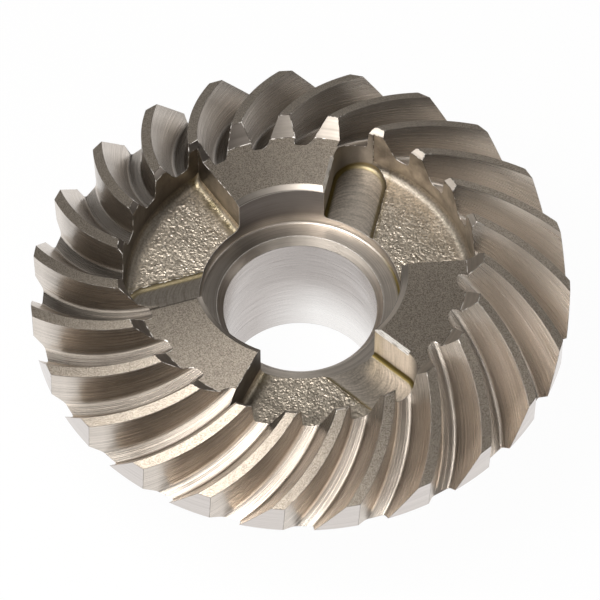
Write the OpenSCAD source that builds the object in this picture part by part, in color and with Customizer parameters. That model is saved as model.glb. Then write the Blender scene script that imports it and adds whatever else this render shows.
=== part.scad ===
// Outboard reverse gear: one forging with spiral bevel teeth, three clutch dogs round a ground
// bore and a bearing journal behind. It stands on the journal's end face, with its axis along +Z.

/* [Teeth] */
// Number of teeth
tooth_count = 23; // [19:1:29]
// Number of teeth on the mating pinion, which sets the pitch cone
pinion_count = 12; // [10:1:14]
// Share of the pitch that a tooth takes up on the pitch cone
tooth_share = 0.39; // [0.34:0.01:0.44]
// Pressure angle in the normal section
pressure_angle = 18; // [14.5:0.5:22.5]
// Spiral angle at the middle of the face
spiral_angle = 35; // [28:0.5:38]
// Diameter of the face-mill cutter that sweeps the tooth curve
cutter_d = 76; // [66:1:100]
// Cone angle over the tooth tips
face_angle = 65.6; // [64:0.1:67]
// Cone angle along the tooth roots
root_angle = 57.4; // [56:0.1:59]
// Fillet radius at the tooth roots
root_fillet = 1; // [0.6:0.1:1.3]
// Direction of the first tooth, at the middle of the face
tooth_phase = 8.5; // [0:0.1:16]

/* [Blank] */
// Outside diameter over the teeth
outside_d = 94.4; // [92:0.2:98]
// Diameter over the tooth tips at their inner ends
toe_d = 63.9; // [62.5:0.1:66]
// Height of the tooth tips' inner ends above the journal's end face
gear_h = 39; // [37.5:0.1:41]
// Height of the rim's lower edge
rim_low_h = 25.7; // [24.5:0.1:27]
// Slope of the cone that faces the inner tooth ends
front_slope = 46.5; // [42:0.5:50]
// Slope of the cone behind the teeth
back_slope = 37.5; // [33:0.5:42]

/* [Clutch dogs] */
// Number of dogs
dog_count = 3; // [2:1:3]
// Height of the dogs' flat tops
dog_h = 36; // [35:0.1:36.6]
// Angle that a dog's top spans
dog_span = 46.5; // [40:0.5:52]
// Direction of the first dog's drive edge
drive_angle = 77.9; // [0:0.1:120]
// Distance from that edge's radial line to the milled drive face
drive_offset = 0.5; // [0.2:0.1:1]
// Depth of the bevel along the drive edge
drive_bevel_h = 0.9; // [0.4:0.1:1.4]
// Diameter of the end mill that clears the drive face
mill_d = 9.6; // [8:0.1:11]
// Corner radius of that end mill
mill_corner = 0.9; // [0.4:0.1:1.5]
// Distance from the axis to the end mill's last position
mill_reach = 25.6; // [24:0.1:26.4]
// Height of the milled slot's floor
slot_h = 28; // [27.4:0.1:28.4]
// Height of the forged pocket's floor
pocket_h = 28.6; // [28.5:0.1:30]
// Diameter of the pocket's outer wall
pocket_d = 62; // [61:0.1:62.6]
// Fillet radius at the foot of that wall
pocket_fillet = 1.6; // [1:0.1:2.4]
// Draft of the dogs' forged backs
forged_draft = 8.5; // [4:0.5:12]
// Size of the fillet at the foot of those backs
forged_fillet = 1.4; // [0.8:0.1:2]

/* [Bore and hub] */
// Diameter of the ground bore
bore_d = 27; // [25:0.1:28.4]
// Width of the bevel at the bore's mouth
bore_bevel_w = 1.2; // [0.4:0.1:1.5]
// Depth of that bevel
bore_bevel_h = 1.4; // [0.4:0.1:2]
// Height of the seat round the bore's mouth
seat_h = 26; // [25:0.1:27]
// Diameter of the counterbore between the dogs
counterbore_d = 35.5; // [34:0.1:36.5]
// Fillet radius at the counterbore's foot
seat_fillet = 0.5; // [0.3:0.1:0.8]
// Width of the bevel round the counterbore's mouth
mouth_bevel_w = 1.1; // [0.5:0.1:1.6]
// Depth of that bevel
mouth_bevel_h = 0.65; // [0.3:0.05:1.2]
// Diameter of the bearing journal
journal_d = 40; // [36:0.5:44]
// Length of the bearing journal
journal_len = 18; // [15:0.5:19]
// Diameter of the shoulder that the bearing rests against
shoulder_d = 50; // [46:0.5:56]
// Height of that shoulder
shoulder_h = 1.2; // [0.6:0.1:2]
// Bevel on the hub's end edges
end_bevel = 0.8; // [0.4:0.1:1.2]

/* [Hidden] */
$fn = 96;

// Overlap of a cut past the face it breaks through
clear = 1;
// Sections along each tooth gap, and steps round each of its root fillets
gap_sections = 10;
fillet_steps = 3;
// Height of a bevel ramp's tail on the forged backs, as a share of the fillet's size
ramp_share = 0.3;

outside_r = outside_d / 2;
toe_r = toe_d / 2;
bore_r = bore_d / 2;
counterbore_r = counterbore_d / 2;
journal_r = journal_d / 2;
shoulder_r = shoulder_d / 2;
pocket_r = pocket_d / 2;
mill_r = mill_d / 2;
tooth_pitch = 360 / tooth_count;
dog_pitch = 360 / dog_count;

// Pitch, face and root cones share one apex above the gear
pitch_angle = atan(tooth_count / pinion_count);
apex_h = gear_h + toe_r / tan(face_angle);
rim_top_h = apex_h - outside_r / tan(face_angle);
front_r = toe_r - (gear_h - dog_h) / tan(front_slope);
back_h = journal_len + shoulder_h;
back_r = outside_r - (rim_low_h - back_h) / tan(back_slope);

// Distance along the pitch cone, from the apex, of a point at a radius and a height
function cone_of(radius, height) = radius * sin(pitch_angle) + (apex_h - height) * cos(pitch_angle);
mean_cone = cone_of((toe_r + outside_r) / 2, (gear_h + rim_top_h) / 2);
first_cone = cone_of(front_r, dog_h) - 4 * clear;
last_cone = cone_of(outside_r, apex_h - outside_r / tan(root_angle)) + clear;

// The tooth curve is the cutter's circle on the flattened pitch cone
cutter_r = cutter_d / 2;
cutter_far = sqrt(pow(mean_cone, 2) + pow(cutter_r, 2) - 2 * mean_cone * cutter_r * sin(spiral_angle));
function swing(cone) =
    acos((pow(cone, 2) + pow(cutter_far, 2) - pow(cutter_r, 2)) / (2 * cone * cutter_far));
function trace_angle(cone) = (swing(cone) - swing(mean_cone)) / sin(pitch_angle);
function spiral_at(cone) =
    asin((cone + mean_cone / cone * (2 * cutter_r * sin(spiral_angle) - mean_cone)) / (2 * cutter_r));

// Half of a gap's outline at one cone distance: [half width, height over the pitch cone], tip to root
function gap_half(cone) =
    let (flank = atan(tan(pressure_angle) / cos(spiral_at(cone))),
         pitch_half = tooth_pitch * (1 - tooth_share) / 2 * PI / 180 * cone * sin(pitch_angle),
         tip = cone * tan(face_angle - pitch_angle) + clear,
         root = -cone * tan(pitch_angle - root_angle),
         middle = root + root_fillet,
         side = pitch_half + middle * tan(flank) - root_fillet / cos(flank))
    concat([[pitch_half + tip * tan(flank), tip]],
           [for (i = [0 : fillet_steps])
               let (turn = -flank - (90 - flank) * i / fillet_steps)
               [side + root_fillet * cos(turn), middle + root_fillet * sin(turn)]]);

// The whole outline, placed in space
function gap_section(cone) =
    let (half = gap_half(cone),
         last = len(half) - 1,
         outline = concat(half, [for (i = [last : -1 : 0]) [-half[i][0], half[i][1]]]))
    [for (p = outline)
        let (radius = cone * sin(pitch_angle) + p[1] * cos(pitch_angle),
             turn = trace_angle(cone) + p[0] / (cone * sin(pitch_angle)) * 180 / PI)
        [radius * cos(turn), radius * sin(turn), apex_h - cone * cos(pitch_angle) + p[1] * sin(pitch_angle)]];

// One tooth gap, swept from inside the toe to outside the heel
module tooth_gap() {
    cones = [for (i = [0 : gap_sections - 1])
        first_cone + (last_cone - first_cone) * i / (gap_sections - 1)];
    rings = [for (cone = cones) gap_section(cone)];
    count = len(rings[0]);
    start = [for (j = [count - 1 : -1 : 0]) j];
    end = [for (j = [0 : count - 1]) (gap_sections - 1) * count + j];
    sides = [for (i = [0 : gap_sections - 2], j = [0 : count - 1])
        let (next = (j + 1) % count)
        [i * count + j, i * count + next, (i + 1) * count + next, (i + 1) * count + j]];
    polyhedron([for (ring = rings) each ring], concat([start, end], sides), convexity = 6);
}

// The turned blank: half section, from the bore round the hub, the rim and the toe
module blank_section() {
    difference() {
        polygon([
            [bore_r + end_bevel, 0],
            [journal_r - end_bevel, 0],
            [journal_r, end_bevel],
            [journal_r, journal_len],
            [shoulder_r, journal_len],
            [shoulder_r, back_h],
            [back_r, back_h],
            [outside_r, rim_low_h],
            [outside_r, rim_top_h],
            [toe_r, gear_h],
            [front_r, dog_h],
            [counterbore_r + mouth_bevel_w, dog_h],
            [counterbore_r, dog_h - mouth_bevel_h],
            [counterbore_r, seat_h + seat_fillet],
            [counterbore_r - seat_fillet, seat_h],
            [bore_r + bore_bevel_w, seat_h],
            [bore_r, seat_h - bore_bevel_h],
            [bore_r, end_bevel]
        ]);
        translate([counterbore_r - seat_fillet, seat_h + seat_fillet]) circle(seat_fillet);
    }
}

// Section of the ring that the forged pockets are cut from, rounded at the foot of its outer wall
module pocket_section() {
    depth = gear_h + clear - pocket_h;
    translate([bore_r, pocket_h]) square([pocket_r - pocket_fillet - bore_r, depth]);
    translate([bore_r, pocket_h + pocket_fillet]) square([pocket_r - bore_r, depth - pocket_fillet]);
    translate([pocket_r - pocket_fillet, pocket_h + pocket_fillet]) circle(pocket_fillet);
}

// Everything on the pocket's side of the next dog's drafted back
module off_forged_back() {
    rotate([0, 0, dog_span - dog_pitch])
    translate([0, 0, dog_h])
    rotate([forged_draft, 0, 0])
    translate([0, 0, -gear_h])
    cube([outside_d, outside_d, 2 * gear_h]);
}

// A point past the end of a line, by the overlap of a cut
function past(start, end) = end + (end - start) * clear / norm(end - start);

// Fillet at the foot of a forged back, running on into the back and the floor
module forged_foot() {
    foot = (dog_h - pocket_h) * tan(forged_draft);
    tail = forged_fillet * ramp_share;
    corner = [foot + tail, tail];
    on_back = [foot - forged_fillet * sin(forged_draft), forged_fillet * cos(forged_draft)];
    on_floor = [foot + forged_fillet, 0];
    rotate([0, 0, dog_span - dog_pitch])
    translate([bore_r / 2, 0, pocket_h])
    rotate([90, 0, 90])
    linear_extrude(pocket_r + clear - bore_r / 2)
    polygon([
        past(corner, on_floor),
        corner,
        past(corner, on_back),
        [-clear, -clear]
    ]);
}

// One forged pocket, clockwise of a drive edge that lies along +X
module pocket() {
    difference() {
        intersection() {
            rotate_extrude() pocket_section();
            off_forged_back();
            translate([0, -outside_d - drive_offset - mill_r, 0]) cube([outside_d, outside_d, 2 * gear_h]);
        }
        forged_foot();
    }
}

// Half of the end mill's outline, rounded at its lower corner
module mill_outline() {
    square([mill_r - mill_corner, gear_h]);
    translate([0, mill_corner]) square([mill_r, gear_h - mill_corner]);
    translate([mill_r - mill_corner, mill_corner]) circle(mill_corner);
}

// The end-milled slot that leaves the drive face
module drive_slot() {
    translate([0, -drive_offset - mill_r, slot_h]) {
        translate([mill_reach, 0, 0]) rotate_extrude() mill_outline();
        translate([bore_r, 0, 0])
        rotate([90, 0, 90])
        linear_extrude(mill_reach - bore_r)
        union() {
            mill_outline();
            mirror([1, 0]) mill_outline();
        }
    }
}

// Bevel along the top of the drive face
module drive_bevel() {
    translate([bore_r, 0, dog_h])
    rotate([90, 0, 90])
    linear_extrude(mill_reach - bore_r)
    polygon([
        [0, 0],
        [-drive_offset, -drive_bevel_h],
        [-drive_offset - clear, -drive_bevel_h],
        [-drive_offset - clear, clear],
        [0, clear]
    ]);
}

// A cut made once for every dog
module each_dog() {
    for (i = [0 : dog_count - 1]) rotate([0, 0, drive_angle + dog_pitch * i]) children();
}

module reverse_gear() {
    color([0.46, 0.43, 0.39])
    difference() {
        rotate_extrude() blank_section();
        each_dog() pocket();
        each_dog() drive_slot();
        each_dog() drive_bevel();
        for (i = [0 : tooth_count - 1])
            rotate([0, 0, tooth_phase + tooth_pitch * (i + 0.5)]) tooth_gap();
    }
}

reverse_gear();
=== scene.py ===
import math
import bpy
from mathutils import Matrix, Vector


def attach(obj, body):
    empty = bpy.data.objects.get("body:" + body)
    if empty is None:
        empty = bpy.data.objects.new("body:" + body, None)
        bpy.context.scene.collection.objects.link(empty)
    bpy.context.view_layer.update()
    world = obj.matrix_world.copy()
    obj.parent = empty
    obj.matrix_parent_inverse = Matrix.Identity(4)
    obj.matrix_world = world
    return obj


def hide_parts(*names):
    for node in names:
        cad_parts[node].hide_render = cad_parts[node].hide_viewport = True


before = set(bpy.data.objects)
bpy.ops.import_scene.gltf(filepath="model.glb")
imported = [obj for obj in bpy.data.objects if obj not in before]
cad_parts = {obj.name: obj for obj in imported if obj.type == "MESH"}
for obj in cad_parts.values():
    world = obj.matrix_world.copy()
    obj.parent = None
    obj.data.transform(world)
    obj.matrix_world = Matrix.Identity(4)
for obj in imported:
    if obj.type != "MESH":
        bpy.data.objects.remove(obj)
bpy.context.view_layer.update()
print("frame loaded")

# The gear is drawn in millimetres about its axis, standing on its hub, and turned to metres when it is whole.

teeth = {
    "count": 23,
    "pinionCount": 12,        # sets the pitch cone
    "share": 0.39,            # of the pitch, on the pitch cone
    "pressure": 18,
    "spiral": 35,             # at the middle of the face
    "cutter": 38,             # radius of the face mill
    "faceAngle": 65.6,
    "rootAngle": 57.4,
    "fillet": 1.0,
    "phase": 8.5,
    "sections": 30,
    "flankSteps": 5,
    "filletSteps": 6,
    "runIn": 4,               # how far the cutter runs past the face, inside and outside
    "runOut": 1,
    "over": 1,                # and over the tips
}
blank = {
    "outside": 47.2,
    "toe": 31.95,
    "top": 39,
    "rimLow": 25.7,
    "frontSlope": 46.5,
    "backSlope": 37.5,
    "bore": 13.5,
    "boreBevel": (1.2, 1.4),
    "seat": 26,
    "counterbore": 17.75,
    "seatFillet": 0.5,
    "mouthBevel": (1.1, 0.65),
    "journal": 20,
    "journalLength": 18,
    "shoulder": 25,
    "shoulderStep": 1.2,
    "endBevel": 0.8,
    "filletSteps": 8,
    "turns": 23 * 16,         # a whole number of faces to each tooth
}
dogs = {
    "count": 3,
    "top": 36,
    "span": 46.5,
    "driveAngle": 77.9,
    "driveOffset": 0.5,
    "driveBevel": 0.9,
    "mill": 4.8,              # radius of the end mill
    "millCorner": 0.9,
    "millSides": 96,
    "millSteps": 8,
    "millDepth": 14,
    "reach": 25.6,
    "slotFloor": 28,
    "floor": 28.6,
    "wall": 31,
    "wallFillet": 1.6,
    "draft": 8.5,
    "backFillet": 1.4,
    "rows": 96,
    "columns": 170,
    "curl": 12,               # rows and columns that go round the fillets
    "past": (0.6, 1.5),       # how far a pocket runs into the counterbore and past the slot
    "bevelZone": (1.5, 2),    # across and below the drive edge
}
edges = {"width": 0.08, "outer": 0.5, "fromAngle": 35, "sharpAngle": 16, "weld": 0.012,
         "outerFrom": 1, "below": 0.004}

finishNames = ["turned", "ground", "flank", "land", "heel", "forged", "wall", "milled", "burr", "bevel"]
finishIndex = {name: i for i, name in enumerate(finishNames)}
finishes = [bpy.data.materials.new(name) for name in finishNames]

toothTurn = 360 / teeth["count"]
dogTurn = 360 / dogs["count"]
pitchAngle = math.atan(teeth["count"] / teeth["pinionCount"])
faceAngle = math.radians(teeth["faceAngle"])
rootAngle = math.radians(teeth["rootAngle"])
apex = blank["top"] + blank["toe"] / math.tan(faceAngle)
rimTop = apex - blank["outside"] / math.tan(faceAngle)
frontRadius = blank["toe"] - (blank["top"] - dogs["top"]) / math.tan(math.radians(blank["frontSlope"]))


def clearSelection():
    if bpy.context.object and bpy.context.object.mode != "OBJECT":
        bpy.ops.object.mode_set(mode="OBJECT")
    bpy.ops.object.select_all(action="DESELECT")


def pick(piece, *others):
    clearSelection()
    for each in (*others, piece):
        each.select_set(True)
    bpy.context.view_layer.objects.active = piece


def editAll(piece):
    pick(piece)
    bpy.ops.object.mode_set(mode="EDIT")
    bpy.ops.mesh.select_all(action="SELECT")


def selectEdges(piece, test):
    editAll(piece)
    bpy.ops.mesh.select_mode(type="EDGE")
    bpy.ops.mesh.select_all(action="DESELECT")
    bpy.ops.object.mode_set(mode="OBJECT")
    for edge in piece.data.edges:
        edge.select = test(*(piece.data.vertices[v].co for v in edge.vertices))
    bpy.ops.object.mode_set(mode="EDIT")


def cleanUp(piece, gap=0.0005):
    editAll(piece)
    bpy.ops.mesh.remove_doubles(threshold=gap)
    bpy.ops.mesh.normals_make_consistent(inside=False)
    bpy.ops.object.mode_set(mode="OBJECT")


def wear(piece, finishOf):
    for finish in finishes:
        piece.data.materials.append(finish)
    for face in piece.data.polygons:
        face.material_index = finishIndex[finishOf(face)]


def copyRound(piece, turns):                          # one copy at each turn, joined as one cutter
    copies = []
    for turn in turns[1:]:
        pick(piece)
        bpy.ops.object.duplicate()
        copies.append(bpy.context.object)
        copies[-1].rotation_euler.z = math.radians(turn)
    piece.rotation_euler.z = math.radians(turns[0])
    pick(piece, *copies)
    bpy.ops.object.transform_apply(location=True, rotation=True, scale=True)
    bpy.ops.object.join()
    return piece


def cutWith(piece, tool):
    pick(piece)
    modifier = piece.modifiers.new("cut", "BOOLEAN")
    modifier.object = tool
    modifier.operation = "DIFFERENCE"
    modifier.solver = "MANIFOLD"
    bpy.ops.object.modifier_apply(modifier=modifier.name)
    print("cut with", tool.name, len(piece.data.polygons), "faces")
    bpy.data.objects.remove(tool, do_unlink=True)


# The turned blank: each outline point with the finish of the band that starts there

def blankOutline():
    b = blank
    backHeight = b["journalLength"] + b["shoulderStep"]
    back = b["outside"] - (b["rimLow"] - backHeight) / math.tan(math.radians(b["backSlope"]))
    fillet, wall = b["seatFillet"], b["counterbore"]
    arc = []
    for step in range(b["filletSteps"] + 1):
        turn = math.radians(-90 * step / b["filletSteps"])
        spot = (wall - fillet + fillet * math.cos(turn), b["seat"] + fillet + fillet * math.sin(turn))
        arc.append((*spot, "turned"))
    return [
        (b["bore"] + b["endBevel"], 0, "turned"),
        (b["journal"] - b["endBevel"], 0, "turned"),
        (b["journal"], b["endBevel"], "ground"),
        (b["journal"], b["journalLength"], "turned"),
        (b["shoulder"], b["journalLength"], "turned"),
        (b["shoulder"], backHeight, "turned"),
        (back, backHeight, "turned"),
        (b["outside"], b["rimLow"], "heel"),
        (b["outside"], rimTop, "land"),
        (b["toe"], b["top"], "turned"),
        (frontRadius, dogs["top"], "land"),
        (wall + b["mouthBevel"][0], dogs["top"], "turned"),
        (wall, dogs["top"] - b["mouthBevel"][1], "turned"),
        *arc,
        (b["bore"] + b["boreBevel"][0], b["seat"], "turned"),
        (b["bore"], b["seat"] - b["boreBevel"][1], "ground"),
        (b["bore"], b["endBevel"], "turned"),
    ]


def makeBlank():
    points = blankOutline()
    following = points[1:] + points[:1]
    clearSelection()
    bpy.ops.mesh.primitive_plane_add(size=1)
    piece = bpy.context.object
    piece.name = "reverseGear"
    bpy.ops.object.mode_set(mode="EDIT")
    bpy.ops.mesh.merge(type="CENTER")
    bpy.ops.transform.translate(value=(points[0][0], 0, points[0][1]))
    for a, b in zip(points, following):
        step = (b[0] - a[0], 0, b[1] - a[1])
        bpy.ops.mesh.extrude_region_move(TRANSFORM_OT_translate={"value": step})
    bpy.ops.mesh.select_all(action="SELECT")
    bpy.ops.mesh.remove_doubles(threshold=0.001)
    bpy.ops.mesh.select_all(action="SELECT")
    bpy.ops.mesh.spin(steps=blank["turns"], angle=2 * math.pi, center=(0, 0, 0), axis=(0, 0, 1))
    cleanUp(piece, 0.001)
    bands = [((a[0] + b[0]) / 2, (a[1] + b[1]) / 2, a[2]) for a, b in zip(points, following)]

    def bandOf(face):
        middle = face.center
        radius = math.hypot(middle.x, middle.y)
        return min(bands, key=lambda band: math.hypot(band[0] - radius, band[1] - middle.z))[2]

    wear(piece, bandOf)
    return piece


# One tooth gap, swept along the cutter's circle on the pitch cone

def coneOf(radius, height):
    return radius * math.sin(pitchAngle) + (apex - height) * math.cos(pitchAngle)


meanCone = coneOf((blank["toe"] + blank["outside"]) / 2, (blank["top"] + rimTop) / 2)
firstCone = coneOf(frontRadius, dogs["top"]) - teeth["runIn"]
lastCone = coneOf(blank["outside"], apex - blank["outside"] / math.tan(rootAngle)) + teeth["runOut"]
sinSpiral = math.sin(math.radians(teeth["spiral"]))
cutterFar = math.sqrt(meanCone ** 2 + teeth["cutter"] ** 2 - 2 * meanCone * teeth["cutter"] * sinSpiral)


def swing(cone):
    return math.acos((cone ** 2 + cutterFar ** 2 - teeth["cutter"] ** 2) / (2 * cone * cutterFar))


def traceAngle(cone):
    return (swing(cone) - swing(meanCone)) / math.sin(pitchAngle)


def spiralAt(cone):
    across = 2 * teeth["cutter"]
    return math.asin((cone + meanCone / cone * (across * sinSpiral - meanCone)) / across)


def gapHalf(cone):                                    # half width and height over the pitch cone, tip to root
    flank = math.atan(math.tan(math.radians(teeth["pressure"])) / math.cos(spiralAt(cone)))
    half = math.radians(toothTurn) * (1 - teeth["share"]) / 2 * cone * math.sin(pitchAngle)
    tip = cone * math.tan(faceAngle - pitchAngle) + teeth["over"]
    middle = teeth["fillet"] - cone * math.tan(pitchAngle - rootAngle)
    side = half + middle * math.tan(flank) - teeth["fillet"] / math.cos(flank)
    arc = []
    for step in range(teeth["filletSteps"] + 1):
        turn = -flank - (math.pi / 2 - flank) * step / teeth["filletSteps"]
        arc.append((side + teeth["fillet"] * math.cos(turn), middle + teeth["fillet"] * math.sin(turn)))
    start = (half + tip * math.tan(flank), tip)
    shares = [step / teeth["flankSteps"] for step in range(teeth["flankSteps"])]
    line = [(start[0] + (arc[0][0] - start[0]) * s, start[1] + (arc[0][1] - start[1]) * s) for s in shares]
    return line + arc


def gapSection(cone):
    half = gapHalf(cone)
    base = cone * math.sin(pitchAngle)
    spots = []
    for x, height in half + [(-x, height) for x, height in reversed(half)]:
        radius = base + height * math.cos(pitchAngle)
        turn = traceAngle(cone) + x / base
        level = apex - cone * math.cos(pitchAngle) + height * math.sin(pitchAngle)
        spots.append((radius * math.cos(turn), radius * math.sin(turn), level))
    return spots


def makeGap():
    around = 2 * (teeth["flankSteps"] + teeth["filletSteps"] + 1)
    last = teeth["sections"] - 1
    clearSelection()
    bpy.ops.mesh.primitive_cylinder_add(vertices=around, radius=1, depth=last, end_fill_type="NGON")
    gap = bpy.context.object
    gap.name = "toothGap"
    selectEdges(gap, lambda a, b: abs(a.z - b.z) > 0.5)
    bpy.ops.mesh.subdivide_edgering(number_cuts=last - 1, interpolation="LINEAR")
    bpy.ops.mesh.select_mode(type="VERT")
    bpy.ops.object.mode_set(mode="OBJECT")
    sections = [gapSection(firstCone + (lastCone - firstCone) * i / last) for i in range(last + 1)]
    for vertex in gap.data.vertices:
        section = sections[round(vertex.co.z + last / 2)]
        vertex.co = section[round(math.atan2(-vertex.co.x, vertex.co.y) / (2 * math.pi) * around) % around]
    cleanUp(gap)
    wear(gap, lambda face: "flank")
    return gap


# The end-milled slot beside a drive face, and the bevel along the face's top; +X runs along the drive edge

def makeSlot():
    d = dogs
    depth = d["millDepth"]
    clearSelection()
    bpy.ops.mesh.primitive_cylinder_add(vertices=d["millSides"], radius=d["mill"], depth=depth)
    slot = bpy.context.object
    slot.name = "driveSlot"
    selectEdges(slot, lambda a, b: max(a.z, b.z) < 0)
    bpy.ops.mesh.bevel(offset=d["millCorner"], segments=d["millSteps"], affect="EDGES")
    bpy.ops.mesh.select_mode(type="VERT")
    bpy.ops.mesh.select_all(action="DESELECT")
    bpy.ops.object.mode_set(mode="OBJECT")
    for vertex in slot.data.vertices:
        vertex.select = vertex.co.x < 0.001
    bpy.ops.object.mode_set(mode="EDIT")
    bpy.ops.transform.translate(value=(blank["bore"] - d["reach"], 0, 0))
    bpy.ops.mesh.select_all(action="SELECT")
    bpy.ops.transform.translate(value=(d["reach"], -d["driveOffset"] - d["mill"], d["slotFloor"] + depth / 2))
    cleanUp(slot)
    wear(slot, lambda face: "milled")
    return slot


def makeDriveBevel():
    d = dogs
    lean = d["driveOffset"] / d["driveBevel"]
    low, high, away = -d["driveBevel"] - 0.1, 1, -d["driveOffset"] - 1
    corners = {(1, -1): (low * lean, low), (1, 1): (high * lean, high),
               (-1, 1): (away, high), (-1, -1): (away, low)}
    clearSelection()
    bpy.ops.mesh.primitive_cube_add(size=2)
    prism = bpy.context.object
    prism.name = "driveBevel"
    for vertex in prism.data.vertices:
        y, z = corners[(round(vertex.co.y), round(vertex.co.z))]
        vertex.co = (blank["bore"] if vertex.co.x < 0 else d["reach"], y, d["top"] + z)
    cleanUp(prism)
    wear(prism, lambda face: "bevel")
    return prism


# A forged pocket: a rough floor that curls up its outer wall and the next dog's drafted back

grains = {"fine": (0.24, 0.125), "coarse": (0.6, 0.13), "swell": (6.0, 0.3)}    # size and height of the lumps
calmBy = {"back": (0.08, 4, 14), "wall": (0.25, 0, 6)}    # least share, rows left clear and rows of fading


def calmAt(steps, least, clear, fading):              # the lumps die out toward the fillets
    return min(1, max(least, (steps - clear) / fading))


def makePocket(turnTo):
    d = dogs
    draft = math.radians(d["draft"])
    back = math.radians(d["span"] - dogTurn)
    inner = blank["counterbore"] - d["past"][0]
    footing = (d["top"] - d["floor"]) * math.tan(draft) + d["backFillet"] * math.tan(math.pi / 4 - draft / 2)
    flatRows, flatColumns = d["rows"] - d["curl"], d["columns"] - d["curl"]
    clearSelection()
    bpy.ops.mesh.primitive_grid_add(x_subdivisions=d["rows"], y_subdivisions=d["columns"], size=2)
    pocket = bpy.context.object
    pocket.name = "forgedPocket"
    rough = pocket.vertex_groups.new(name="rough")
    backEdge = pocket.vertex_groups.new(name="backEdge")
    for vertex in pocket.data.vertices:
        row = round((vertex.co.x + 1) / 2 * d["rows"])
        column = round((vertex.co.y + 1) / 2 * d["columns"])
        wallTurn = math.pi / 2 * max(0, row - flatRows) / d["curl"]
        backTurn = (math.pi / 2 - draft) * max(0, column - flatColumns) / d["curl"]
        radius = inner + (d["wall"] - d["wallFillet"] - inner) * min(1, row / flatRows)
        radius += d["wallFillet"] * math.sin(wallTurn)
        lift = d["wallFillet"] * (1 - math.cos(wallTurn))
        start = -math.asin((d["driveOffset"] + d["mill"] + d["past"][1]) / radius)
        stop = back + math.asin((footing - lift * math.tan(draft)) / radius)
        turn = start + (stop - start) * min(1, column / flatColumns)
        turn += turnTo - math.asin(d["backFillet"] * math.sin(backTurn) / radius)
        level = d["floor"] + lift + d["backFillet"] * (1 - math.cos(backTurn))
        vertex.co = (radius * math.cos(turn), radius * math.sin(turn), level)
        calm = calmAt(flatColumns - column, *calmBy["back"]) * calmAt(flatRows - row, *calmBy["wall"])
        rough.add([vertex.index], calm, "REPLACE")
        if column == d["columns"]:
            backEdge.add([vertex.index], 1, "REPLACE")
    for name, (size, height) in grains.items():
        lumps = bpy.data.textures.new(name + "Lumps", "CLOUDS")
        lumps.noise_scale = size
        lumps.noise_depth = 1
        modifier = pocket.modifiers.new(name, "DISPLACE")
        modifier.texture = lumps
        modifier.strength = height
        modifier.vertex_group = "rough"
        bpy.ops.object.modifier_apply(modifier=modifier.name)
    editAll(pocket)
    bpy.ops.mesh.region_to_loop()
    rise = 100
    bpy.ops.mesh.extrude_region_move(TRANSFORM_OT_translate={"value": (0, 0, rise)})
    bpy.ops.object.mode_set(mode="OBJECT")
    top = blank["top"] + 2
    for vertex in pocket.data.vertices:
        if vertex.co.z > rise:
            lean = (top + rise - vertex.co.z) * math.tan(draft)
            vertex.co.z = top
            if any(g.group == backEdge.index and g.weight > 0.5 for g in vertex.groups):
                vertex.co.x += lean * math.sin(back + turnTo)
                vertex.co.y -= lean * math.cos(back + turnTo)
    bpy.ops.object.mode_set(mode="EDIT")
    bpy.ops.mesh.edge_face_add()
    bpy.ops.mesh.select_mode(type="VERT")
    cleanUp(pocket)
    heights = pocket.data.vertices
    wear(pocket, lambda face: "wall" if max(heights[v].co.z for v in face.vertices) > top - 1 else "forged")
    return pocket


def joined(pieces):
    pick(*pieces)
    bpy.ops.object.join()
    return pieces[0]


driveTurns = [dogs["driveAngle"] + dogTurn * i for i in range(dogs["count"])]
gear = makeBlank()
print("blank spun")
cutWith(gear, joined([makePocket(math.radians(turn)) for turn in driveTurns]))
cutWith(gear, copyRound(makeSlot(), driveTurns))
cutWith(gear, copyRound(makeDriveBevel(), driveTurns))
cutWith(gear, copyRound(makeGap(), [teeth["phase"] + toothTurn * (i + 0.5) for i in range(teeth["count"])]))

cleanUp(gear, edges["weld"])


def onDriveBevel(spot):
    radius = math.hypot(spot.x, spot.y)
    turn = math.atan2(spot.y, spot.x) - math.radians(dogs["driveAngle"]) + math.pi / 2
    turn = turn % math.radians(dogTurn) - math.pi / 2
    across, below = dogs["bevelZone"]
    return abs(radius * math.sin(turn)) < across and radius < dogs["wall"] and spot.z > dogs["top"] - below


# Burrs stand on the sharp edges, finer out on the teeth
editAll(gear)
bpy.ops.mesh.select_mode(type="EDGE")
bpy.ops.mesh.select_all(action="DESELECT")
bpy.ops.mesh.edges_select_sharp(sharpness=math.radians(edges["fromAngle"]))
bpy.ops.object.mode_set(mode="OBJECT")
weights = gear.data.attributes.new("bevel_weight_edge", "FLOAT", "EDGE")
for edge in gear.data.edges:
    first, second = (gear.data.vertices[v].co for v in edge.vertices)
    middle = (first + second) / 2
    if edge.select and not onDriveBevel(middle):
        onTeeth = middle.xy.length > blank["toe"] + edges["outerFrom"]
        weights.data[edge.index].value = edges["outer"] if onTeeth else 1
modifier = gear.modifiers.new("edges", "BEVEL")
modifier.width = edges["width"]
modifier.segments = 1
modifier.limit_method = "WEIGHT"
modifier.use_clamp_overlap = False
modifier.material = finishIndex["burr"]
bpy.ops.object.modifier_apply(modifier=modifier.name)
for vertex in gear.data.vertices:                     # no burr stands over the turned faces
    vertex.co.z = min(vertex.co.z, blank["top"] - edges["below"])
editAll(gear)
bpy.ops.transform.resize(value=(0.001, 0.001, 0.001), center_override=(0, 0, 0))
bpy.ops.object.mode_set(mode="OBJECT")
bpy.ops.object.shade_smooth_by_angle(angle=math.radians(edges["sharpAngle"]))
print("gear finished", len(gear.data.polygons), "faces")

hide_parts("reverse_gear")
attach(gear, "root")


# Finishes. A value of four numbers is a range for remap: from, to, and the share at each end. Places by x, y,
# z and a radius are in metres unless the note says mm.

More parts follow.
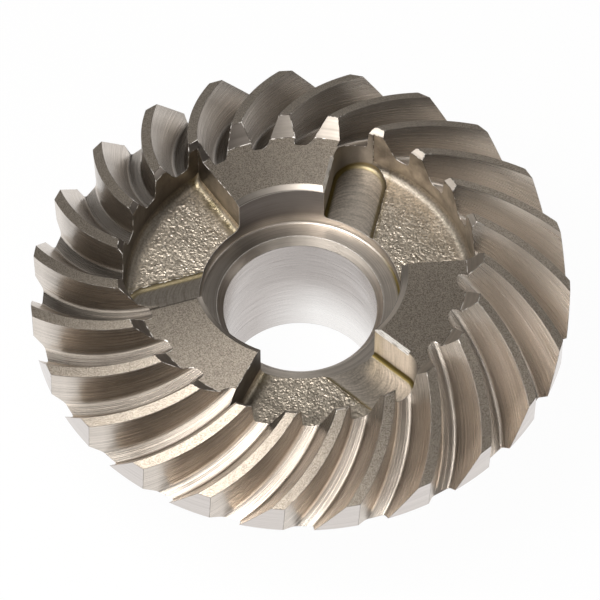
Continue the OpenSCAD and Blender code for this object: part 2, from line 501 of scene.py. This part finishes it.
def addNode(tree, kind, inputs=(), **settings):
    node = tree.nodes.new(kind)
    for name, value in settings.items():
        setattr(node, name, value)
    for key, value in dict(inputs).items():
        if isinstance(value, bpy.types.NodeSocket):
            tree.links.new(value, node.inputs[key])
        else:
            node.inputs[key].default_value = value
    return node


def calc(tree, operation, a, b=0.0, c=0.0):
    return addNode(tree, "ShaderNodeMath", {0: a, 1: b, 2: c}, operation=operation).outputs[0]


def times(tree, first, *others):
    for other in others:
        first = calc(tree, "MULTIPLY", first, other)
    return first


def plus(tree, a, b):
    return calc(tree, "ADD", a, b)


def minus(tree, a, b):
    return calc(tree, "SUBTRACT", a, b)


def most(tree, a, b):
    return calc(tree, "MAXIMUM", a, b)


def weave(tree, first, second, share):
    return plus(tree, times(tree, first, share), times(tree, second, 1 - share))


def place(tree):                                      # where a point lies on the gear, round its axis
    spot = addNode(tree, "ShaderNodeTexCoord").outputs["Object"]
    x, y, z = addNode(tree, "ShaderNodeSeparateXYZ", {0: spot}).outputs
    radius = calc(tree, "SQRT", plus(tree, times(tree, x, x), times(tree, y, y)))
    return {"spot": spot, "x": x, "y": y, "z": z, "radius": radius, "turn": calc(tree, "ARCTAN2", y, x),
            "cos": calc(tree, "DIVIDE", x, radius), "sin": calc(tree, "DIVIDE", y, radius)}


def vector(tree, x, y, z=0.0):
    return addNode(tree, "ShaderNodeCombineXYZ", {0: x, 1: y, 2: z}).outputs[0]


def noise(tree, where, scale, detail=3.0, rough=0.5):
    return addNode(tree, "ShaderNodeTexNoise", {"Vector": where, "Scale": scale, "Detail": detail,
                                                "Roughness": rough}).outputs["Fac"]


def remap(tree, value, low, high, toLow=0.0, toHigh=1.0):
    return addNode(tree, "ShaderNodeMapRange", {0: value, 1: low, 2: high, 3: toLow, 4: toHigh}).outputs[0]


def band(tree, value, middle, half):                  # 1 on the middle, fading to 0 at half to either side
    gap = calc(tree, "ABSOLUTE", minus(tree, value, middle))
    return addNode(tree, "ShaderNodeMapRange", {0: gap, 1: 0.0, 2: half, 3: 1.0, 4: 0.0},
                   interpolation_type="SMOOTHSTEP").outputs[0]


def blend(tree, share, first, second):
    mix = addNode(tree, "ShaderNodeMix", {0: share}, data_type="RGBA")
    for socket, colour in ((mix.inputs[6], first), (mix.inputs[7], second)):
        if isinstance(colour, bpy.types.NodeSocket):
            tree.links.new(colour, socket)
        else:
            socket.default_value = (*colour, 1)
    return mix.outputs[2]


def tones(tree, share, look):
    return blend(tree, remap(tree, share, *look["spread"]), look["light"], look["dark"])


def gloss(tree, lines, look):
    return remap(tree, lines, 0.3, 0.7, *look["rough"])


def bump(tree, height, distance, strength):
    return addNode(tree, "ShaderNodeBump", {"Height": height, "Distance": distance,
                                            "Strength": strength}).outputs[0]


def ringNoise(tree, p, across, along, detail=2.0):    # tool lines that run round the axis and meet
    where = vector(tree, across, times(tree, p["cos"], along), times(tree, p["sin"], along))
    return noise(tree, where, 1.0, detail)


def ringLine(tree, p):                                # lines of a turned face run round the axis
    return vector(tree, times(tree, p["y"], -1.0), p["x"])


def treeOf(name):
    finish = finishes[finishIndex[name]]
    finish.use_nodes = True
    return finish, finish.node_tree


def setUp(finish, look, colour, rough, normal, toolLine=None):
    tree = finish.node_tree
    shader = tree.nodes["Principled BSDF"]
    shader.inputs["Metallic"].default_value = look.get("metal", 1.0)
    shader.inputs["Anisotropic"].default_value = look.get("brushed", 0.0)
    shader.inputs["Anisotropic Rotation"].default_value = 0.25    # the gloss spreads across the tool lines
    inputs = {"Base Color": colour, "Roughness": rough, "Normal": normal, "Tangent": toolLine}
    for key, value in inputs.items():
        if isinstance(value, bpy.types.NodeSocket):
            tree.links.new(value, shader.inputs[key])
        elif value is not None:
            shader.inputs[key].default_value = value


def inDog(tree, p):                                   # the same, in the sector of one dog, in millimetres
    quarter = math.pi / 2
    turn = plus(tree, minus(tree, p["turn"], math.radians(dogs["driveAngle"])), quarter)
    turn = minus(tree, calc(tree, "FLOORED_MODULO", turn, math.radians(dogTurn)), quarter)
    backTurn = minus(tree, turn, math.radians(dogs["span"] - dogTurn))
    radius = times(tree, p["radius"], 1000.0)
    return {"along": times(tree, radius, calc(tree, "COSINE", turn)),
            "across": times(tree, radius, calc(tree, "SINE", turn)),
            "fromBack": times(tree, radius, calc(tree, "SINE", backTurn)),
            "radius": radius,
            "level": times(tree, p["z"], 1000.0),
            "start": minus(tree, p["turn"], turn)}


oil = (0.33, 0.255, 0.085)

turnedLook = {
    "light": (0.72, 0.655, 0.59),
    "dark": (0.47, 0.425, 0.375),
    # the next tone is painted shade
    "deep": (0.12, 0.102, 0.09),
    "rough": (0.32, 0.46),
    "brushed": 0.5,
    "lines": 5200,
    "lean": 1.3,                              # so the lines change across each turned face
    "lineShare": 0.65,
    "stain": 220,
    "spread": (0.36, 0.64),
    "relief": (0.00002, 0.5),
    "toeShadeLeft": (-0.013, 0.004, 0.8, 0.0),    # by x: painted shade on the toe faces to the left
    "mouth": (0.6, 0.3),                      # from the bore out
    "mouthShadeLeft": (-0.012, 0.0, 1.0, 0.0),     # by x: painted shade in the bore's mouth, darkest on the left
    "shade": (26.4, 29.0, 0.0, 0.85),         # by mm up the counterbore's wall
    "shadeWidth": 0.3,                        # mm, as the next two
    "oilLevel": 26.1,
    "oilWidth": 0.7,
    "oilArc": (0.05, 0.75),
    "oilFlow": (1.6, 0.95),                   # how thick, and the most
}
finish, tree = treeOf("turned")
p = place(tree)
d = inDog(tree, p)
slant = minus(tree, p["radius"], times(tree, p["z"], turnedLook["lean"]))
lines = ringNoise(tree, p, times(tree, slant, turnedLook["lines"]), 1.0)
stain = noise(tree, p["spot"], turnedLook["stain"], 4.0, 0.6)
colour = tones(tree, weave(tree, lines, stain, turnedLook["lineShare"]), turnedLook)
# Painted shade: the toe faces darken toward the left.
toeShade = times(tree, remap(tree, d["radius"], frontRadius, frontRadius + 0.1),
             remap(tree, d["level"], dogs["top"], dogs["top"] + 0.1),
             remap(tree, p["x"], *turnedLook["toeShadeLeft"]))
colour = blend(tree, toeShade, colour, turnedLook["deep"])
# Painted shade: the bore's mouth bevel and the seat beside it darken on the left.
mouthIn, mouthOut = blank["bore"] + blank["boreBevel"][0], blank["counterbore"] - 0.4
mouth = times(tree, remap(tree, d["radius"], mouthIn, mouthOut, *turnedLook["mouth"]),
              remap(tree, d["level"], blank["seat"] - 2, blank["seat"] - 1.5),
              remap(tree, p["x"], *turnedLook["mouthShadeLeft"]))
colour = blend(tree, mouth, colour, turnedLook["deep"])
shade = times(tree, band(tree, d["radius"], blank["counterbore"], turnedLook["shadeWidth"]),
              remap(tree, d["level"], *turnedLook["shade"]))
colour = blend(tree, shade, colour, turnedLook["deep"])
wet = times(tree, band(tree, d["radius"], blank["counterbore"], turnedLook["oilWidth"]),
            band(tree, d["level"], turnedLook["oilLevel"], turnedLook["oilWidth"]),
            band(tree, p["turn"], *turnedLook["oilArc"]), turnedLook["oilFlow"][0])
colour = blend(tree, calc(tree, "MINIMUM", wet, turnedLook["oilFlow"][1]), colour, oil)
setUp(finish, turnedLook, colour, gloss(tree, lines, turnedLook), bump(tree, lines, *turnedLook["relief"]),
      ringLine(tree, p))

groundLook = {
    "light": (0.60, 0.56, 0.537),
    "dark": (0.46, 0.424, 0.405),
    # the next tone is painted shade, the one after it a painted reflection
    "deep": (0.34, 0.31, 0.295),
    "bright": (0.95, 0.93, 0.91),
    "rough": (0.2, 0.32),
    "brushed": 0.4,
    "lines": 9000,
    "spread": (0.35, 0.65),
    "relief": (0.00001, 0.4),
    "boreLightLow": (0.005, 0.015, 0.9, 0.0),    # by z: painted reflection of the white floor, low in the bore
    "boreLightRight": (-0.008, 0.003, 0.0, 1.0),  # by x: the painted reflection kept to the right
    "boreShadeMiddle": (0.002, 0.012, 0.45, 0.0),  # by x, to either side: painted shade in the bore's middle
    "boreShadeHigh": (0.011, 0.017, 0.0, 1.0),     # by z: painted shade high in the bore
}
finish, tree = treeOf("ground")
p = place(tree)
lines = ringNoise(tree, p, times(tree, p["z"], groundLook["lines"]), 2.0, 3.0)
# Painted light and shade in the bore: near white low on the right, where it mirrors the white floor, and
# darker high in the middle.
inBore = calc(tree, "LESS_THAN", p["radius"], 0.015)
bright = times(tree, inBore, remap(tree, p["z"], *groundLook["boreLightLow"]),
               remap(tree, p["x"], *groundLook["boreLightRight"]))
colour = blend(tree, bright, tones(tree, lines, groundLook), groundLook["bright"])
deep = times(tree, remap(tree, calc(tree, "ABSOLUTE", p["x"]), *groundLook["boreShadeMiddle"]),
             remap(tree, p["z"], *groundLook["boreShadeHigh"]), inBore)
colour = blend(tree, deep, colour, groundLook["deep"])
setUp(finish, groundLook, colour, gloss(tree, lines, groundLook), bump(tree, lines, *groundLook["relief"]),
      ringLine(tree, p))

# Cutter lines run along the tooth: across it they follow the distance from the gap's middle and the cone

flankLook = {
    "light": (0.64, 0.572, 0.503),
    "dark": (0.21, 0.184, 0.158),
    # the next tone is painted light
    "lift": (0.95, 0.87, 0.79),
    "rough": (0.22, 0.36),
    "brushed": 0.5,
    "acrossLines": 64.0,
    "coneLines": 240.0,
    "alongLines": 0.02,
    "lineShare": 0.88,
    "stain": 160.0,
    "spread": (0.4, 0.58),
    "balance": 0.55,
    "streakContrast": (-0.015, 0.012, 1.0, 0.5),       # by y: the streaks are strongest at the front; toward the back their colour contrast fades as painted light, and their bump fades too
    "relief": (0.00006, 0.9),
    "paintedLightRight": (0.016, 0.034, 0.0, 0.6),    # by x: painted light, brighter to the right and at the rim
    "paintedLightBack": (-0.025, -0.008, 0.35, 1.0),  # by y
    "paintedLightRim": (0.0425, 0.0455, 0.0, 0.5),    # by radius
}
finish, tree = treeOf("flank")
p = place(tree)
halfRun = 10                                          # the trace is fitted at points this far out and in
outerTrace, innerTrace = traceAngle(meanCone + halfRun), traceAngle(meanCone - halfRun)
traceBend = (outerTrace + innerTrace) / (2 * halfRun ** 2)
traceSlope = (outerTrace - innerTrace) / (2 * halfRun)
drop = minus(tree, apex / 1000, p["z"])
cone = calc(tree, "ARCTAN2", p["radius"], drop)
run = plus(tree, times(tree, p["radius"], 1000 * math.sin(pitchAngle)),
           times(tree, drop, 1000 * math.cos(pitchAngle)))
run = minus(tree, run, meanCone)
trace = times(tree, run, calc(tree, "MULTIPLY_ADD", run, traceBend, traceSlope))
tooth = minus(tree, minus(tree, p["turn"], trace), math.radians(teeth["phase"]))
tooth = calc(tree, "DIVIDE", tooth, math.radians(toothTurn))
across = calc(tree, "ABSOLUTE", minus(tree, calc(tree, "FRACT", tooth), 0.5))
number = calc(tree, "FLOORED_MODULO", calc(tree, "FLOOR", tooth), teeth["count"])
across = plus(tree, times(tree, across, flankLook["acrossLines"]), times(tree, cone, flankLook["coneLines"]))
where = vector(tree, across, times(tree, run, flankLook["alongLines"]), times(tree, number, 7.0))
lines = noise(tree, where, 1.0, 2.0, 0.65)
stain = noise(tree, p["spot"], flankLook["stain"])
share = remap(tree, weave(tree, lines, stain, flankLook["lineShare"]), *flankLook["spread"])
streakContrast = remap(tree, p["y"], *flankLook["streakContrast"])
share = calc(tree, "MULTIPLY_ADD", minus(tree, share, flankLook["balance"]), streakContrast, flankLook["balance"])
colour = blend(tree, share, flankLook["light"], flankLook["dark"])
# Painted light: the flanks are painted brighter on the right, less so near the front, and out at the rim.
lift = times(tree, remap(tree, p["x"], *flankLook["paintedLightRight"]), remap(tree, p["y"], *flankLook["paintedLightBack"]))
lift = most(tree, lift, remap(tree, p["radius"], *flankLook["paintedLightRim"]))
colour = blend(tree, lift, colour, flankLook["lift"])
# How fast the line swings round, and how fast it runs outward
aside = calc(tree, "MULTIPLY_ADD", run, 2000 * traceBend, 1000 * traceSlope)
outward = calc(tree, "DIVIDE", math.sin(pitchAngle), p["radius"])
toolLine = vector(tree, minus(tree, times(tree, p["x"], outward), times(tree, p["y"], aside)),
                  plus(tree, times(tree, p["y"], outward), times(tree, p["x"], aside)), -math.cos(pitchAngle))
depth, strength = flankLook["relief"]
setUp(finish, flankLook, colour, gloss(tree, lines, flankLook),
      bump(tree, lines, depth, times(tree, streakContrast, strength)), toolLine)

landLook = {
    "light": (0.59, 0.52, 0.44),
    "dark": (0.205, 0.178, 0.149),
    "deep": (0.06, 0.052, 0.044),
    "rough": (0.44, 0.56),
    "brushed": 0.5,
    "grain": 5400,
    "rings": 5600,
    "grainShare": 0.9,
    "spread": (0.38, 0.64),
    "relief": (0.00005, 0.5),
    "brink": 0.4,                             # the dark line along a drive edge
    "brinkLeft": (-0.012, -0.006, 0.9, 0.0),  # by x
}
finish, tree = treeOf("land")
p = place(tree)
grain = noise(tree, p["spot"], landLook["grain"], 2.0, 0.7)
rings = ringNoise(tree, p, times(tree, p["radius"], landLook["rings"]), 8.0)
colour = tones(tree, weave(tree, grain, rings, landLook["grainShare"]), landLook)
d = inDog(tree, p)
brink = times(tree, band(tree, d["across"], 0.0, landLook["brink"]),
              remap(tree, p["x"], *landLook["brinkLeft"]), calc(tree, "LESS_THAN", d["radius"], dogs["wall"]))
colour = blend(tree, brink, colour, landLook["deep"])
setUp(finish, landLook, colour, gloss(tree, grain, landLook), bump(tree, grain, *landLook["relief"]),
      ringLine(tree, p))

heelLook = {
    "light": (0.70, 0.655, 0.625),
    "dark": (0.62, 0.575, 0.545),
    "rough": (0.15, 0.22),
    "brushed": 0.3,
    "lines": 4000,
    "spread": (0.3, 0.7),
    "relief": (0.00001, 0.4),
}
finish, tree = treeOf("heel")
p = place(tree)
lines = ringNoise(tree, p, times(tree, p["z"], heelLook["lines"]), 1.0)
setUp(finish, heelLook, tones(tree, lines, heelLook), gloss(tree, lines, heelLook),
      bump(tree, lines, *heelLook["relief"]), ringLine(tree, p))

forgedLook = {
    "light": (1.0, 0.888, 0.745),
    "dark": (0.58, 0.51, 0.42),
    "frontDark": (0.15, 0.13, 0.105),
    # the next tone is painted shade
    "deep": (0.03, 0.026, 0.02),
    "rough": (0.34, 0.48),
    "grain": 2400,
    "spread": (0.35, 0.65),
    "relief": (0.0002, 0.5),
    "patches": 200.0,
    "patchy": (0.35, 0.65, 0.2, 0.85),
    "oilFoot": (2.0, 1.5),                    # mm from the next dog's back, and half its width
    "oilSlot": (0.2, 0.45, 0.6),              # mm past the slot's edge, half its width, and how much
    "oilGloss": 0.15,
    "frontDarkBy": (-0.025, -0.014, 0.5, 0.0),      # by y: darker in the front pocket
    "footShade": (2.0, 3.2, 1.8, 0.0),         # by mm from the next dog's back: painted shade at its foot, in the front pocket
    "leftWallShade": (28.8, 30.4, 0.0, 0.85),      # by radius in mm: painted shade up the outer wall on the left
    "left": (-0.02, -0.015, 1.0, 0.0),        # by x
    "rightWallShade": (29.6, 30.3, 0.0, 0.7),      # by radius in mm: painted shade up the outer wall on the right
    "right": (0.01, 0.014, 0.0, 1.0),         # by x
}
finish, tree = treeOf("forged")
p = place(tree)
d = inDog(tree, p)
grain = noise(tree, p["spot"], forgedLook["grain"], 3.0, 0.6)
colour = blend(tree, remap(tree, grain, *forgedLook["spread"]), forgedLook["dark"], forgedLook["light"])
patchy = remap(tree, noise(tree, p["spot"], forgedLook["patches"], 3.0, 0.6), *forgedLook["patchy"])
past, slotHalf, slotShare = forgedLook["oilSlot"]
slotEdge = band(tree, d["across"], -dogs["driveOffset"] - 2 * dogs["mill"] - past, slotHalf)
foot = band(tree, d["fromBack"], *forgedLook["oilFoot"])
wet = times(tree, most(tree, foot, times(tree, slotEdge, slotShare)), patchy)
colour = blend(tree, wet, colour, oil)
# The front pocket is coloured darker.
frontDark = remap(tree, p["y"], *forgedLook["frontDarkBy"])
colour = blend(tree, frontDark, colour, forgedLook["frontDark"])
# Painted shade: the outer wall's fillet darkens in the left and right pockets, and so does the foot of the
# next dog's back in the front pocket.
left = times(tree, remap(tree, d["radius"], *forgedLook["leftWallShade"]),
             remap(tree, p["x"], *forgedLook["left"]))
right = times(tree, remap(tree, d["radius"], *forgedLook["rightWallShade"]),
              remap(tree, p["x"], *forgedLook["right"]))
footShade = times(tree, frontDark, remap(tree, d["fromBack"], *forgedLook["footShade"]))
colour = blend(tree, most(tree, most(tree, left, right), footShade), colour, forgedLook["deep"])
rough = minus(tree, gloss(tree, grain, forgedLook), times(tree, wet, forgedLook["oilGloss"]))
setUp(finish, forgedLook, colour, rough, bump(tree, grain, *forgedLook["relief"]))

wallLook = {
    "light": (0.26, 0.225, 0.185),
    "dark": (0.13, 0.11, 0.088),
    # the next tone is painted shade
    "deep": (0.06, 0.05, 0.04),
    "rough": (0.4, 0.5),
    "stain": 300.0,
    "spread": (0.35, 0.65),
    "grain": 1200.0,
    "relief": (0.00003, 0.4),
    "wallShadeLeft": (-0.022, -0.012, 0.75, 0.0),  # by x: painted shade on the walls to the left
    "wallShadeFront": (-0.018, -0.012, 0.75, 0.0),  # by y: painted shade on the walls to the front
}
finish, tree = treeOf("wall")
p = place(tree)
stain = noise(tree, p["spot"], wallLook["stain"], 4.0, 0.6)
# Painted shade: the pocket walls darken to the left and to the front.
wallShade = most(tree, remap(tree, p["x"], *wallLook["wallShadeLeft"]), remap(tree, p["y"], *wallLook["wallShadeFront"]))
colour = blend(tree, wallShade, tones(tree, stain, wallLook), wallLook["deep"])
grain = noise(tree, p["spot"], wallLook["grain"], 2.0)
setUp(finish, wallLook, colour, gloss(tree, stain, wallLook), bump(tree, grain, *wallLook["relief"]))

# Swirls of the end mill, each an arc of its radius; oil lies along the foot of the drive face

milledLook = {
    "light": (0.70, 0.63, 0.553),
    "dark": (0.38, 0.338, 0.288),
    "side": (0.47, 0.435, 0.395),
    "oily": (0.12, 0.09, 0.03),
    # the next tone is painted shade
    "shadeBrown": (0.12, 0.108, 0.095),
    "rough": (0.36, 0.48),
    "brushed": 0.4,
    "lines": (3.5, 0.3, 0.2),                 # per mm across the swirls, across the slot and up
    "lineShare": 0.6,
    "grain": 2600.0,
    "spread": (0.38, 0.62),
    "relief": (0.00002, 0.4),
    "shadeLeft": (-0.016, -0.01, 0.4, 0.0),   # by x: painted shade on the slot to the left
    "upright": (0.4, 1.2, 0.0, 0.6),          # by mm over the slot's floor
    "oilEnd": (18.6, 20.4, 0.6, 0.0),         # by mm along the drive face
    "shadeEnd": (0.6, 2.8, 0.0, 1.1),         # by mm past the slot's end: painted shade on its curved end wall
    "oilFoot": (0.35, 1.1),                   # mm over the floor, and half its width
    "oilSide": 1.2,
    "patches": 160.0,
    "patchy": (0.3, 0.5, 0.9, 1.8),
    "film": (-2.0, 3.0),                      # mm across the slot: thickest under the drive face
    "filmLeast": 0.55,
}
finish, tree = treeOf("milled")
p = place(tree)
d = inDog(tree, p)
over = minus(tree, d["level"], dogs["slotFloor"])
side = plus(tree, d["across"], dogs["driveOffset"] + dogs["mill"])
bow = calc(tree, "SQRT", most(tree, minus(tree, dogs["mill"] ** 2, times(tree, side, side)), 0.0))
swirl = minus(tree, d["along"], bow)
swirls = zip((swirl, side, d["level"]), milledLook["lines"])
where = vector(tree, *(times(tree, value, scale) for value, scale in swirls))
lines = noise(tree, where, 1.0, 3.0, 0.6)
grain = noise(tree, p["spot"], milledLook["grain"], 3.0, 0.6)
share = weave(tree, lines, grain, milledLook["lineShare"])
colour = tones(tree, share, milledLook)
# Painted shade: the slot darkens to the left.
colour = blend(tree, remap(tree, p["x"], *milledLook["shadeLeft"]), colour, milledLook["shadeBrown"])
upright = remap(tree, over, *milledLook["upright"])
colour = blend(tree, upright, colour, milledLook["side"])
colour = blend(tree, times(tree, upright, remap(tree, d["along"], *milledLook["oilEnd"])), colour, oil)
# Painted shade up the curved end wall past the slot's end.
pastEnd = most(tree, minus(tree, d["along"], dogs["reach"]), 0.0)
shadeEnd = times(tree, upright, remap(tree, pastEnd, *milledLook["shadeEnd"]))
colour = blend(tree, shadeEnd, colour, milledLook["shadeBrown"])
toSide = calc(tree, "SQRT", plus(tree, times(tree, pastEnd, pastEnd), times(tree, side, side)))
patchy = remap(tree, noise(tree, p["spot"], milledLook["patches"], 2.0), *milledLook["patchy"])
wet = times(tree, band(tree, over, *milledLook["oilFoot"]),
            band(tree, toSide, dogs["mill"], milledLook["oilSide"]), patchy)
film = blend(tree, remap(tree, side, *milledLook["film"]), oil, milledLook["oily"])
wet = calc(tree, "MINIMUM", wet, remap(tree, side, *milledLook["film"], milledLook["filmLeast"], 1.0))
colour = blend(tree, wet, colour, film)
ahead, aside = calc(tree, "COSINE", d["start"]), calc(tree, "SINE", d["start"])
toolLine = vector(tree, plus(tree, times(tree, ahead, side), times(tree, aside, bow)),
                  minus(tree, times(tree, aside, side), times(tree, ahead, bow)))
setUp(finish, milledLook, colour, gloss(tree, lines, milledLook), bump(tree, share, *milledLook["relief"]),
      toolLine)

burrLook = {
    "light": (0.95, 0.91, 0.86),
    "dark": (0.12, 0.102, 0.085),
    "rough": 0.4,
    "metal": 0.5,
    "nicks": 800.0,
    "spread": (0.51, 0.56),
    "grain": 1800.0,
    "relief": (0.0003, 0.35),
    "outer": (0.0325, 0.0335, 1.0, 0.2),      # by radius: fainter on the teeth
    "right": (0.0, 0.03, 1.0, 0.5),           # by x: painted shade, fewer pale flecks on the edges to the right
    "mouth": (0.019, 0.0192, 0.3, 0.0),       # by radius
    "back": (0.025, 0.0255, 0.4, 0.0),        # by z
}
finish, tree = treeOf("burr")
p = place(tree)
nicks = remap(tree, noise(tree, p["spot"], burrLook["nicks"], 3.0, 0.6), *burrLook["spread"])
# Painted shade: the edges carry fewer pale flecks toward the right.
outer = times(tree, remap(tree, p["radius"], *burrLook["outer"]), remap(tree, p["x"], *burrLook["right"]))
smooth = most(tree, remap(tree, p["radius"], *burrLook["mouth"]), remap(tree, p["z"], *burrLook["back"]))
nicks = times(tree, nicks, calc(tree, "LESS_THAN", smooth, 0.01))     # turned edges have no nicks
share = most(tree, times(tree, nicks, outer), smooth)
colour = blend(tree, share, burrLook["dark"], burrLook["light"])
grain = noise(tree, p["spot"], burrLook["grain"], 2.0)
setUp(finish, burrLook, colour, burrLook["rough"], bump(tree, grain, *burrLook["relief"]))

# The bevel on a drive face's top is scraped bright along its length
bevelLook = {
    "light": (0.97, 0.94, 0.9),
    "dark": (0.42, 0.38, 0.33),
    "rough": (0.3, 0.42),
    "metal": 0.5,
    "scrapes": (0.6, 7.0),                    # per mm along and up
    "spread": (0.5, 0.62),
    "relief": (0.00003, 0.5),
}
finish, tree = treeOf("bevel")
p = place(tree)
d = inDog(tree, p)
alongScale, upScale = bevelLook["scrapes"]
where = vector(tree, times(tree, d["along"], alongScale), times(tree, d["level"], upScale))
scrapes = noise(tree, where, 1.0, 3.0, 0.6)
setUp(finish, bevelLook, tones(tree, scrapes, bevelLook), gloss(tree, scrapes, bevelLook),
      bump(tree, scrapes, *bevelLook["relief"]))
print("finishes done")


# Floor, light and camera

stageSet = {
    "floorSize": 3.0,
    "paper": (0.9, 0.9, 0.9),
    "paperRough": 0.9,
    "glow": 0.97,
    "fadeRight": (0.07, 0.2, 1.0, 0.2),       # by x: what the steel mirrors of the floor fades
    "fadeBack": (0.08, 0.25, 1.0, 0.6),       # by y
    "world": (0.02, 0.018, 0.016),
    "lampTint": (1.0, 0.98, 0.95),
    "lampsFace": 0.03,                        # height that the lamps face
}

clearSelection()
bpy.ops.mesh.primitive_plane_add(size=stageSet["floorSize"])
floor = bpy.context.object
floor.name = "floor"
paper = bpy.data.materials.new("paper")
paper.use_nodes = True
tree = paper.node_tree
shader = tree.nodes["Principled BSDF"]
shader.inputs["Base Color"].default_value = (*stageSet["paper"], 1)
shader.inputs["Roughness"].default_value = stageSet["paperRough"]
shader.inputs["Specular IOR Level"].default_value = 0.0
rays = addNode(tree, "ShaderNodeLightPath").outputs
seen = most(tree, most(tree, rays["Is Camera Ray"], rays["Is Glossy Ray"]), rays["Is Transmission Ray"])
p = place(tree)
fade = times(tree, remap(tree, p["x"], *stageSet["fadeRight"]), remap(tree, p["y"], *stageSet["fadeBack"]))
strength = most(tree, fade, rays["Is Camera Ray"])
glow = addNode(tree, "ShaderNodeEmission", {"Color": (1, 1, 1, 1), "Strength": strength})
mix = addNode(tree, "ShaderNodeMixShader", {0: times(tree, seen, stageSet["glow"]),
                                           1: shader.outputs[0], 2: glow.outputs[0]})
tree.links.new(mix.outputs[0], tree.nodes["Material Output"].inputs["Surface"])
floor.data.materials.append(paper)

world = bpy.data.worlds.new("studio")
bpy.context.scene.world = world
world.use_nodes = True
world.node_tree.nodes["Background"].inputs["Color"].default_value = (*stageSet["world"], 1)

# Each lamp's place is its bearing and height as angles from the gear, and its distance
lamps = {
    "softbox": {"bearing": 210, "height": 63, "away": 0.27, "size": (0.17, 0.17), "watts": 0.5},
    "softboxFront": {"bearing": 241, "height": 62, "away": 0.27, "size": (0.17, 0.17), "watts": 0.19},
    "softboxLeft": {"bearing": 184, "height": 61, "away": 0.27, "size": (0.17, 0.17), "watts": 0.08},
    "window": {"bearing": 238, "height": 48, "away": 0.6, "size": (0.2, 0.22), "watts": 0.22},
    "leftPanel": {"bearing": 191, "height": 14, "away": 0.53, "size": (0.5, 0.3), "watts": 0.75},
    "frontLeftCard": {"bearing": 234, "height": 29, "away": 0.6, "size": (0.42, 0.3), "watts": 0.17},
    "rightCard": {"bearing": 0, "height": 30, "away": 0.6, "size": (0.24, 0.24), "watts": 0.43},
    "sideCard": {"bearing": 305, "height": 42, "away": 0.6, "size": (0.24, 0.24), "watts": 0.27},
    "frontCard": {"bearing": 270, "height": 22, "away": 0.6, "size": (0.24, 0.2), "watts": 0.16},
    "backCard": {"bearing": 50, "height": 24, "away": 0.6, "size": (0.24, 0.24), "watts": 0.28},
    "backLeftCard": {"bearing": 118, "height": 20, "away": 0.6, "size": (0.3, 0.24), "watts": 0.12},
    "backWall": {"bearing": 90, "height": 54, "away": 0.6, "size": (0.24, 0.24), "watts": 0.075},
}
for name, lamp in lamps.items():
    light = bpy.data.lights.new(name, "AREA")
    light.shape = "RECTANGLE"
    light.size, light.size_y = lamp["size"]
    light.energy = lamp["watts"]
    light.color = stageSet["lampTint"]
    holder = bpy.data.objects.new(name, light)
    bearing, height = math.radians(lamp["bearing"]), math.radians(lamp["height"])
    flat = math.cos(height)
    away = Vector((flat * math.cos(bearing), flat * math.sin(bearing), math.sin(height)))
    holder.location = Vector((0, 0, stageSet["lampsFace"])) + lamp["away"] * away
    holder.rotation_euler = (-away).to_track_quat("-Z", "Y").to_euler()
    bpy.context.scene.collection.objects.link(holder)

view = {"elevation": 54.225, "distance": 0.8688, "aim": (0, 0, 0.039), "lens": 300, "sensor": 36,
        "shift": (-0.0004, -0.0663), "nearest": 0.01}
camera = bpy.data.objects.new("camera", bpy.data.cameras.new("camera"))
bpy.context.scene.collection.objects.link(camera)
tilt = math.radians(view["elevation"])
camera.location = Vector(view["aim"]) + view["distance"] * Vector((0, -math.cos(tilt), math.sin(tilt)))
camera.rotation_euler = (math.pi / 2 - tilt, 0, 0)
camera.data.lens = view["lens"]
camera.data.sensor_width = view["sensor"]
camera.data.shift_x, camera.data.shift_y = view["shift"]
camera.data.clip_start = view["nearest"]
bpy.context.scene.camera = camera
bpy.context.scene.view_settings.view_transform = "Standard"
print("stage set")
